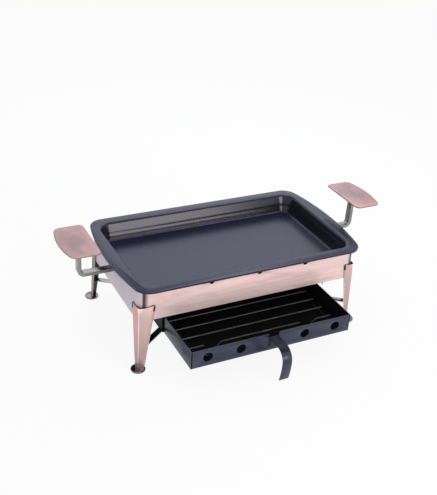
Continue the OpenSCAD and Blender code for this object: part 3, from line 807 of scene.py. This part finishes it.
def scallop_path(node):
    shell = merged_copy(node)
    rim = [v for v in shell.verts if v.co.z > SCALLOP_LOW]
    outward = Vector((math.copysign(1, rim[0].co.x), math.copysign(1, rim[0].co.y), 0)).normalized()
    outer = [v.co.copy() for v in rim
             if any(f.normal.dot(outward) > OUTWARD and abs(f.normal.z) < UPRIGHT for f in v.link_faces)]
    shell.free()
    outer.sort(key=lambda point: abs(point.x) - abs(point.y))
    path = [outer[0]]
    for point in outer[1:]:
        if (point - path[-1]).length > SEAM_RADIUS:
            path.append(point)
    return [point - outward * SEAM_RADIUS for point in path]


print("seam points on one leg", len(scallop_path("leg_front_left")))

# %% Weld beads
# The beads and the seam are near-black: dark weld plus a painted shadow of the gap.
shell = bmesh.new()
for corner in CORNERS:
    points = [v.co.copy() for v in frame["nodes"]["leg_" + corner].data.vertices]
    for axis in (0, 1):
        sweep(shell, bead_path(points, axis), bead_radii())
    seam = scallop_path("leg_" + corner)
    sweep(shell, seam, [SEAM_RADIUS] * len(seam))
for face in shell.faces:
    face.smooth = True
bmesh.ops.recalc_face_normals(shell, faces=shell.faces)
bead_mesh = bpy.data.meshes.new("weld_beads")
shell.to_mesh(bead_mesh)
shell.free()
bead_mesh.materials.append(weld_and_gap_shade)
beads = add_object("weld_beads", bead_mesh)
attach(beads, "stand")
print("weld beads", len(bead_mesh.polygons), "faces")

# %% [markdown]
# ## The pan and the drawer
# The pan is one deep-drawn sheet, so only its cut edge is sharp. The drawer is a folded tray with a front
# panel, black inside, and a strap pull that is bent from flat steel. The black could be a thin shell of its
# own, but it would lie on the sheet and flicker, so the inner faces of the same mesh take it. A dark seam
# shows where the panel's ends meet the tray's sides, so the panel is cut there and the narrow strips take
# the black too.

# %% Which faces lie inside
DRAWER_SHEET = 1.2 * MM
PANEL_END = 2.0 * MM
SQUARE_ON = 0.5
LYING = 0.8
WALL_LEAN = 0.62

tray_low, tray_high = corners_of("drawer_tray")
panel_low, panel_high = corners_of("drawer_front")
panel_cuts = [Vector((panel_low.x + PANEL_END, 0, 0)), Vector((panel_high.x - PANEL_END, 0, 0))]


def in_tray(face):
    middle = face.calc_center_median()
    room = DRAWER_SHEET / 2
    return all(tray_low[i] + room < middle[i] < tray_high[i] - room for i in range(3))


def behind_panel(face):
    at_end = not panel_cuts[0].x < face.calc_center_median().x < panel_cuts[1].x
    return face.normal.y > SQUARE_ON or (face.normal.y < -SQUARE_ON and at_end)


def lies_flat(face):
    return face.normal.z > LYING


def is_pan_wall(face):
    return abs(face.normal.z) < WALL_LEAN and face.normal.dot(face.calc_center_median()) < 0


print("panel cut at", [round(cut.x, 4) for cut in panel_cuts])

# %% Pan and drawer
PAN_EDGE = 0.4 * MM
PULL_EDGE = 0.35 * MM

dress("roasting_pan", "pan_shell", pan_coating, PAN_EDGE,
      inside=pan_wall, is_inside=is_pan_wall)
dress("drawer_tray", "drawer_body", black_paint, inside=sooty_black, is_inside=in_tray)
dress("drawer_front", "drawer_panel", black_paint,
      inside=sooty_black, is_inside=behind_panel, cuts=panel_cuts)
# The pull's flat top run takes the painted shade.
dress("drawer_pull", "pull_strap", black_paint, PULL_EDGE,
      inside=pull_top_shade, is_inside=lies_flat)

# %% [markdown]
# ## The grate
# The grate is eight drawn wires across two cross wires, which are painted near-black as painted shade. The
# first and the last long wire are bent into feet and are dressed like the rest. The six straight ones could
# be copied one by one, but a row of equal pieces is what Geometry Nodes does best: it sets one wire on a
# line of points.


# %% Geometry Nodes helpers
def new_pattern(name, inputs):
    tree = bpy.data.node_groups.new(name, "GeometryNodeTree")
    tree.interface.new_socket("Geometry", in_out="OUTPUT", socket_type="NodeSocketGeometry")
    keys = {label: tree.interface.new_socket(label, in_out="INPUT", socket_type=kind).identifier
            for label, kind in inputs}
    return tree, keys, tree.nodes.new("NodeGroupInput").outputs


def close_pattern(tree, points, shape, rotation, scale, material):
    smooth = add_node(tree, "GeometryNodeSetShadeSmooth", inputs={"Geometry": shape})
    placed = add_node(tree, "GeometryNodeInstanceOnPoints", inputs={
        "Points": points, "Instance": smooth.outputs[0], "Rotation": rotation, "Scale": scale})
    solid = add_node(tree, "GeometryNodeRealizeInstances", inputs={"Geometry": placed.outputs[0]})
    finished = add_node(tree, "GeometryNodeSetMaterial", inputs={
        "Geometry": solid.outputs[0], "Material": material})
    tree.links.new(finished.outputs[0], tree.nodes.new("NodeGroupOutput").inputs[0])


def make_pattern(name, tree, keys, values):
    piece = add_object(name, bpy.data.meshes.new(name))
    modifier = piece.modifiers.new(name, "NODES")
    modifier.node_group = tree
    for label, value in values.items():
        modifier[keys[label]] = value
    made = piece.evaluated_get(bpy.context.evaluated_depsgraph_get())
    mesh = bpy.data.meshes.new_from_object(made)
    piece.modifiers.clear()
    piece.data = mesh
    mesh.name = name
    mesh.set_sharp_from_angle(angle=SMOOTH)
    print(name, len(mesh.polygons), "faces")
    return piece


# %% Long wires
WIRE_COUNT = 6
WIRE_SIDES = 20
INT, MATERIAL = "NodeSocketInt", "NodeSocketMaterial"
LIE_ALONG_X = (0, math.pi / 2, 0)

bars_low, bars_high = corners_of("grate_bars")
wire_radius = (bars_high.z - bars_low.z) / 2
wire_length = bars_high.x - bars_low.x
wire_pitch = (bars_high.y - bars_low.y - 2 * wire_radius) / (WIRE_COUNT - 1)
first_wire = Vector(((bars_low.x + bars_high.x) / 2, bars_low.y + wire_radius, bars_low.z + wire_radius))

tree, keys, given = new_pattern("wire_row", [
    ("Count", INT), ("First", VECTOR), ("Pitch", VECTOR), ("Radius", FLOAT), ("Length", FLOAT),
    ("Material", MATERIAL)])
row = add_node(tree, "GeometryNodeMeshLine", inputs={
    "Count": given["Count"], "Start Location": given["First"], "Offset": given["Pitch"]})
wire = add_node(tree, "GeometryNodeMeshCylinder", inputs={
    "Vertices": WIRE_SIDES, "Radius": given["Radius"], "Depth": given["Length"]})
close_pattern(tree, row.outputs[0], wire.outputs[0], LIE_ALONG_X, (1, 1, 1), given["Material"])
wires = make_pattern("wire_grate_bars", tree, keys, {
    "Count": WIRE_COUNT, "First": first_wire, "Pitch": (0, wire_pitch, 0), "Radius": wire_radius,
    "Length": wire_length, "Material": wire_steel})
keep_piece(wires, "grate_bars")

# %% Wires with feet and cross wires
WIRE_EDGE = 0.4 * MM

for end in ("front", "rear"):
    dress("grate_foot_wire_" + end, "wire_grate_foot_" + end, wire_steel, WIRE_EDGE)
for side in SIDES:
    dress("grate_cross_wire_" + side, "wire_grate_cross_" + side, shaded_dark_wire, WIRE_EDGE)

# %% [markdown]
# ## Spot welds
# Each long wire is spot-welded to both cross wires, which leaves a small nugget squeezed flat by the
# electrodes. Bumps in the wires' own meshes would be hard to place, so the nuggets are flattened balls on a
# grid of points.

# %% Spot welds
NUGGET_FLAT = 0.45
NUGGET_SWELL = 1.1
LONG_WIRES = WIRE_COUNT + 2

cross_left = middle_of(corners_of("grate_cross_wire_left"))
cross_right = middle_of(corners_of("grate_cross_wire_right"))
weld_middle = ((cross_left.x + cross_right.x) / 2, first_wire.y + wire_pitch * (WIRE_COUNT - 1) / 2,
               (first_wire.z + cross_left.z) / 2)

tree, keys, given = new_pattern("weld_grid", [
    ("Span", FLOAT), ("Depth", FLOAT), ("Rows", INT), ("Middle", VECTOR), ("Radius", FLOAT),
    ("Material", MATERIAL)])
grid = add_node(tree, "GeometryNodeMeshGrid", inputs={
    "Size X": given["Span"], "Size Y": given["Depth"], "Vertices X": 2, "Vertices Y": given["Rows"]})
moved = add_node(tree, "GeometryNodeTransform", inputs={
    "Geometry": grid.outputs[0], "Translation": given["Middle"]})
nugget = add_node(tree, "GeometryNodeMeshUVSphere", inputs={
    "Segments": 14, "Rings": 8, "Radius": given["Radius"]})
close_pattern(tree, moved.outputs[0], nugget.outputs[0], (0, 0, 0), (1, 1, NUGGET_FLAT), given["Material"])
# The nuggets take the cross wires' near-black, as painted shade.
welds = make_pattern("wire_grate_welds", tree, keys, {
    "Span": cross_right.x - cross_left.x, "Depth": wire_pitch * (LONG_WIRES - 1), "Rows": LONG_WIRES,
    "Middle": weld_middle, "Radius": wire_radius * NUGGET_SWELL, "Material": shaded_dark_wire})
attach(welds, "grate")

# %% [markdown]
# ## Finishing
# The dressed model must stay inside the solids' box. The Standard view shows each colour about as it is
# written.

# %% Finish
bpy.context.scene.view_settings.view_transform = "Standard"
